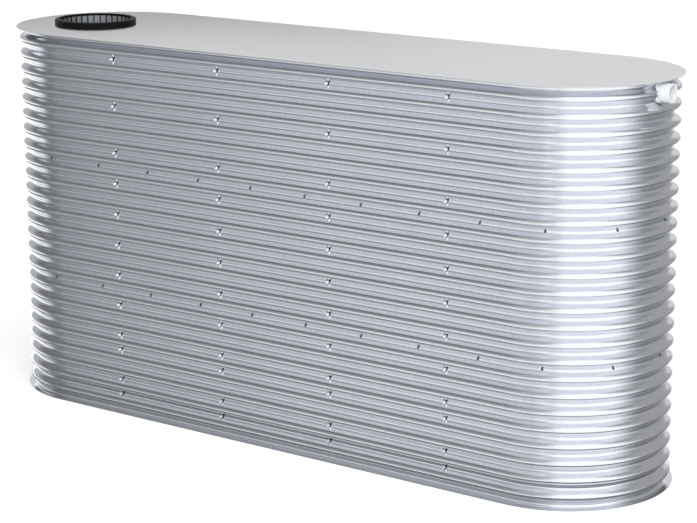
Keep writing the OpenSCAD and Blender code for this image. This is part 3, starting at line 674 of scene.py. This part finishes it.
def with_hole(mesh, centre, hole_r):
    """The mesh with a round hole through it, cut by a drum that is then thrown away."""
    drum = turned(np.array([0, hole_r, hole_r, 0]), np.array([-0.1, -0.1, 0.1, 0.1]),
                  HOLE_STEPS, [centre], (0, 0, 1))
    cutter = bpy.data.objects.new("hole_drum", grid_mesh("hole_drum", [drum]))
    holder = bpy.data.objects.new("hole_holder", mesh)
    for thing in (cutter, holder):
        bpy.context.scene.collection.objects.link(thing)
    cut = holder.modifiers.new("hole", "BOOLEAN")
    cut.object = cutter
    cut.solver = "EXACT"
    bpy.context.view_layer.update()
    made = bpy.data.meshes.new_from_object(holder.evaluated_get(
        bpy.context.evaluated_depsgraph_get()))
    for thing in (cutter, holder):
        bpy.data.objects.remove(thing)
    return finished(made)


def turned(radius, along, steps, centres, axis):
    """A profile turned about an axis at each of the centres: the centre, plus the
    distance along the axis, plus the radius times the direction at each angle. The
    radius may also be one row for each angle."""
    axis = np.array(axis, float)
    first = np.cross(axis, (0.0, 0.0, 1.0) if abs(axis[2]) < 0.5 else (0.0, 1.0, 0.0))
    second = np.cross(axis, first)
    angle = 2 * np.pi * np.arange(steps)[:, None] / steps
    ring = np.cos(angle) * first + np.sin(angle) * second
    radius = np.broadcast_to(radius, (steps, len(along)))
    one = radius[..., None] * ring[:, None] + along[None, :, None] * axis
    return {"points": np.array(centres, float)[:, None, None] + one[None], "close_rows": True}


rim_low, rim_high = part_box("strainer_basket")
strainer_x = (rim_low.x + rim_high.x) / 2
lid_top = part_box("lid_sheet")[1].z
lid = with_hole(plate("lid", "lid_sheet", -1), (strainer_x, 0, lid_top), HOLE_R)
add_piece("hemmed_lid", lid, lid_steel, ["lid_sheet"])
add_piece("hemmed_base", plate("base", "base_sheet", 1), lid_steel, ["base_sheet"])

# %% [markdown]
# ## Metals, plastics and rubber
# Each of these has a grain of a real size that shifts its colour, roughness and height a
# little, the same in every direction: a mottle on cast and forged skins, and a fine orange
# peel on moulded plastic. One function makes them, from a dark and a light tone.

# %% Other materials


def grained(name, darker, lighter, roughness, grain, metallic=0.0, bump=0.1, coat=0.0,
            gloss=0.5):
    """A material with noise of one real size. The noise picks the tone, changes the
    roughness by a fifth and lifts the surface by a tenth of the grain's size."""
    material, tree, shader = new_material(name)
    place = add_node(tree, "ShaderNodeTexCoord")
    noise = add_node(tree, "ShaderNodeTexNoise", values={"Scale": 1 / grain, "Detail": 4.0},
                     links={"Vector": place.outputs["Object"]})
    share = add_node(tree, "ShaderNodeMapRange", values={"From Min": 0.3, "From Max": 0.7},
                     links={"Value": noise.outputs[0]})
    tree.links.new(mix_colour(tree, share.outputs[0], darker, lighter),
                   shader.inputs["Base Color"])
    rough = add_node(tree, "ShaderNodeMapRange",
                     values={"To Min": roughness * 1.2, "To Max": roughness * 0.8},
                     links={"Value": share.outputs[0]})
    tree.links.new(rough.outputs[0], shader.inputs["Roughness"])
    lift = add_node(tree, "ShaderNodeBump", values={"Strength": bump, "Distance": grain / 10},
                    links={"Height": noise.outputs[0]})
    tree.links.new(lift.outputs[0], shader.inputs["Normal"])
    shader.inputs["Metallic"].default_value = metallic
    shader.inputs["Coat Weight"].default_value = coat
    shader.inputs["Specular IOR Level"].default_value = gloss
    return material


def woven(name, wire, hole_shade, pitch):
    """Woven wire: two sets of waves at right angles, where the higher of the two is the
    wire on top. Between the wires the colour falls to a painted shade: the holes are opaque dark
    grey, standing for the shaded space seen through them."""
    material, tree, shader = new_material(name)
    place = add_node(tree, "ShaderNodeTexCoord")
    waves = []
    for direction in ("X", "Y"):
        waves.append(add_node(tree, "ShaderNodeTexWave", {"bands_direction": direction},
                              {"Scale": 2 * np.pi / (20 * pitch)},
                              {"Vector": place.outputs["UV"]}))
    top = add_node(tree, "ShaderNodeMath", {"operation": "MAXIMUM"},
                   links={0: waves[0].outputs["Fac"], 1: waves[1].outputs["Fac"]})
    share = add_node(tree, "ShaderNodeMapRange", values={"From Min": 0.3, "From Max": 0.7},
                     links={"Value": top.outputs[0]})
    tree.links.new(mix_colour(tree, share.outputs[0], hole_shade, wire), shader.inputs["Base Color"])
    tree.links.new(share.outputs[0], shader.inputs["Metallic"])
    lift = add_node(tree, "ShaderNodeBump", values={"Strength": 0.5, "Distance": pitch / 4},
                    links={"Height": top.outputs[0]})
    tree.links.new(lift.outputs[0], shader.inputs["Normal"])
    shader.inputs["Roughness"].default_value = 0.35
    return material


# Neutral-cure silicone, smoothed with a finger
silicone = grained("grey_silicone", "#85888b", "#96999c", 0.42, 14 * MM, bump=0.3)
# Blind rivets of aluminium, coloured a dark grey, far darker than bare aluminium
rivet_metal = grained("dark_grey_aluminium", "#54565c", "#6c6e74", 0.42, 3 * MM, 1.0)
# Stainless rod and washers, straight off the lathe
stainless = grained("turned_stainless", "#c9cacc", "#dddee0", 0.25, 2 * MM, 1.0)
# Dome nuts, tumbled bright
bright_steel = grained("polished_stainless", "#eceef0", "#f8f9fa", 0.16, 5 * MM, 1.0, 0.03)
# EPDM, moulded, with a dusty bloom
epdm = grained("epdm_rubber", "#1a1b1d", "#292a2c", 0.68, 1.6 * MM, bump=0.3)
# Polypropylene with carbon black, moulded against a fine spark finish
polypropylene = grained("black_polypropylene", "#06070a", "#0e1015", 0.5, 1.2 * MM, bump=0.2,
                        gloss=0.12)
# Rigid PVC, moulded glossy
pvc = grained("white_pvc", "#e9ebee", "#f5f6f7", 0.28, 30 * MM, bump=0.05, coat=0.3)
# Hot-forged brass with its skin left on, and turned faces
brass = grained("forged_brass", "#a98745", "#c6a55f", 0.34, 1.4 * MM, 1.0, 0.25)
# Waxy PTFE seats
ptfe = grained("ptfe", "#dfdfda", "#efefeb", 0.5, 6 * MM)
# Brass ball, plated and polished
chrome = grained("chrome_plate", "#d6d8da", "#e6e7e9", 0.07, 25 * MM, 1.0, 0.02)
# Pressed steel, zinc plated and clear passivated
zinc = grained("zinc_plated_steel", "#b2b7bd", "#cfd3d8", 0.36, 5 * MM, 1.0, 0.1)
# Vinyl, dipped warm, with a soft gloss
vinyl = grained("dipped_vinyl", "#12356a", "#1a4684", 0.36, 3 * MM, bump=0.15, coat=0.2)
# Stainless gauze of one millimetre holes, drawn at 3 mm, with the holes painted a dark grey shade in
# place of the view through them
gauze = woven("stainless_gauze", "#d5d8db", "#6d7074", 3 * MM)

# %% [markdown]
# ## Ties
# Threaded rods run across the tank and hold its long sides against the weight of the
# water. Each ends in a valley of the wall, in a rubber pad, a washer and a dome nut. The
# nut is a hexagon with chamfered corners and a ball end: its radius at each angle is that
# of the hexagon or of the chamfer's cone, whichever is smaller.

# %% Tie nuts and washers
TIE_COLUMNS = np.array([-937, -297, 343, 983]) * MM
NUT_STEPS = 24
ROUND_STEPS = 36
NUT_HALF = 6.5 * MM
NUT_TALL = 6.5 * MM
DOME_R = 5.8 * MM
WASHER_R = 9 * MM
WASHER_HOLE = 4.6 * MM


def strake_mid(z):
    """Middle radius of the strake that shows at the heights z."""
    middle = np.array([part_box(node)[1].y for node in ("bottom_strake", "middle_strake",
                                                      "top_strake")]) - DEPTH / 2 - SHEET / 2
    laps = [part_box("middle_strake")[0].z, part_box("top_strake")[0].z]
    return middle[np.searchsorted(laps, z)]


tie_heights = last_valley - PITCH * np.array([1, 4, 7, 9, 11, 13, 15, 17, 19, 20, 22, 23])
strake_step = strake_mid(last_valley) - strake_mid(first_valley)


def tie_places(node, side):
    """Where each copy of a node sits: the columns, the heights, and the y of its inner
    face, which steps out by one strake's lap. Also its thickness along y."""
    low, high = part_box(node)
    inner, outer = (high.y, low.y) if side < 0 else (low.y, high.y)
    x, z = (part.ravel() for part in np.meshgrid(TIE_COLUMNS, tie_heights))
    y = inner + side * (strake_mid(z) - strake_mid(first_valley))
    return np.stack([x, y, z], -1), abs(outer - inner) - strake_step


def nut_profile():
    """Radius for each angle and height of a dome nut, from its seat to the tip."""
    angle = 2 * np.pi * np.arange(NUT_STEPS) / NUT_STEPS
    corner = np.pi / 6 - np.abs(angle % (np.pi / 3) - np.pi / 6)
    hexagon = NUT_HALF / np.cos(np.pi / 6 - corner)
    along = np.array([0, 0, 0.6 * MM, NUT_TALL - 0.9 * MM, NUT_TALL, NUT_TALL])
    cone = np.array([0, 6.9 * MM, 7.6 * MM, 7.6 * MM, 6.6 * MM, DOME_R])
    rise = np.linspace(0, np.pi / 2, 6)[1:]
    along = np.concatenate([along, NUT_TALL + DOME_R * np.sin(rise)])
    cone = np.concatenate([cone, DOME_R * np.cos(rise)])
    return np.minimum(hexagon[:, None], cone[None]), along


def ring_profile(outer_r, inner_r, thick, rounding):
    """A flat ring, rounded at its outer edges, as a closed outline."""
    radius, along = rounded([(inner_r, 0, 0), (outer_r, 0, rounding),
                             (outer_r, thick, rounding), (inner_r, thick, 0)], 4)
    return radius, along


for side, where in ((-1, "front"), (1, "back")):
    places, tall = tie_places(f"{where}_tie_nuts", side)
    mesh = grid_mesh(f"{where}_nuts", [turned(*nut_profile(), NUT_STEPS, places, (0, side, 0))], 24)
    add_piece(f"{where}_dome_nuts", mesh, bright_steel, [f"{where}_tie_nuts"])
    node = f"{where}_tie_washers"
    places, thick = tie_places(node, side)
    ring = turned(*ring_profile(WASHER_R, WASHER_HOLE, thick, 0.4 * MM), ROUND_STEPS, places,
                  (0, side, 0))
    mesh = grid_mesh(node, [{**ring, "close_columns": True}])
    add_piece(f"{where}_round_washers", mesh, stainless, [node])

# %% [markdown]
# ## Overflow
# The overflow is one white moulding: a flange against its gasket, a short stub with a
# socket that takes the waste pipe, and a threaded shank through the wall. A mould leaves
# soft edges and a fillet between flange and stub.

# %% Overflow
THREAD = 2.5 * MM
THREAD_DEPTH = 0.7 * MM


def threads(radius, start, end):
    """Radius and height of a thread's section: crests at the radius and grooves a
    thread's depth below, with flat crests and flat grooves."""
    z = np.arange(start, end, THREAD / 4)
    return np.clip(radius + THREAD_DEPTH * (np.cos(2 * np.pi * z / THREAD) - 0.4),
                   radius - THREAD_DEPTH, radius), z


stub_low, stub_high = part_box("overflow_stub")
stub_back = stub_low.x - overflow["x"]
stub_tip = stub_high.x - overflow["x"]
flange_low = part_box("overflow_gasket")[1].x - overflow["x"]
STUB_R = 41.25 * MM
FLANGE_R = (stub_high.z - stub_low.z) / 2
FLANGE_TOP = flange_low + 9 * MM
SOCKET_R = 34.6 * MM
SOCKET = 45 * MM
BORE_R = 30 * MM
SHANK_R = 36.8 * MM
corners = [(SHANK_R, stub_back, 0.8 * MM), (SHANK_R, flange_low, 0),
           (FLANGE_R, flange_low, 0.5 * MM), (FLANGE_R, FLANGE_TOP, 2 * MM),
           (STUB_R, FLANGE_TOP, 0), (STUB_R, stub_tip, 1.5 * MM),
           (SOCKET_R, stub_tip, 1 * MM), (SOCKET_R, stub_tip - SOCKET, 0.5 * MM),
           (BORE_R, stub_tip - SOCKET, 0.5 * MM), (BORE_R, stub_back, 0.8 * MM)]
radius, along = rounded(corners, 6)
place = (overflow["x"], overflow["y"], overflow["z"])
stub = turned(radius, along, 96, [place], (1, 0, 0))
add_piece("overflow_moulding", grid_mesh("overflow_moulding", [{**stub, "close_columns": True}]),
          pvc, ["overflow_stub"])

# %% [markdown]
# ## Strainer mesh
# A cup of stainless gauze hangs round the outside of the black basket, and its flange
# lies on the lid under the rim. It keeps the CAD's form, as a turned surface with its own
# UV map, so that the weave runs square round the wall.

# %% Strainer mesh
cup_low, cup_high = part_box("strainer_mesh")
GAUZE = 0.8 * MM
CUP_R = 184.2 * MM
flange_r = (cup_high.x - cup_low.x) / 2
cup_section = [(0, cup_low.z, 0), (CUP_R + GAUZE, cup_low.z, 0.4 * MM),
               (CUP_R + GAUZE, lid_top, 0), (flange_r, lid_top, 0),
               (flange_r, lid_top + GAUZE, 0), (CUP_R + GAUZE, lid_top + GAUZE, 0),
               (CUP_R + GAUZE, cup_high.z, 0), (CUP_R, cup_high.z, 0),
               (CUP_R, cup_low.z + GAUZE, 0), (0, cup_low.z + GAUZE, 0)]
radius, along = rounded(cup_section, 3)
cup = turned(radius, along, 128, [(strainer_x, 0, 0)], (0, 0, 1))
length = np.concatenate([[0], np.cumsum(np.hypot(np.diff(radius), np.diff(along)))])
turn_metres = np.arange(129) / 128 * 2 * np.pi * CUP_R
cup["uv"] = np.stack(np.meshgrid(turn_metres, length, indexing="ij"), -1)
add_piece("gauze_cup", grid_mesh("gauze_cup", [cup]), gauze, ["strainer_mesh"])

# %% [markdown]
# ## Finishes of the CAD nodes that stay
# These pieces are right as they are: small turned and moulded parts, the basket, the
# sealant and the valve. Each gets the material of what it is made of.

# %% Materials of the CAD nodes
finishes = {
    silicone: ("base_seal", "lid_seal"),
    rivet_metal: ("lower_seam_rivets", "upper_seam_rivets"),
    stainless: ("tie_rods", "front_tie_washers", "back_tie_washers", "overflow_screen"),
    bright_steel: ("front_tie_nuts", "back_tie_nuts"),
    epdm: ("front_tie_pads", "back_tie_pads", "overflow_gasket", "outlet_gasket"),
    polypropylene: ("strainer_basket",),
    gauze: ("strainer_mesh",),
    pvc: ("overflow_stub", "overflow_back_nut"),
    brass: ("outlet_shank", "outlet_back_nut", "valve_body", "valve_end", "valve_stem",
            "gland_nut"),
    ptfe: ("valve_seats",),
    chrome: ("valve_ball",),
    zinc: ("valve_lever", "lever_nut"),
    vinyl: ("lever_sleeve",),
    wall_steel: ("bottom_strake", "middle_strake", "top_strake"),
    lid_steel: ("lid_sheet", "base_sheet"),
}
for material, nodes in finishes.items():
    for node in nodes:
        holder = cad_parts[node]
        for place_in_list in range(len(holder.material_slots)):
            holder.material_slots[place_in_list].material = material
print("CAD nodes with a finish:", sum(len(nodes) for nodes in finishes.values()))
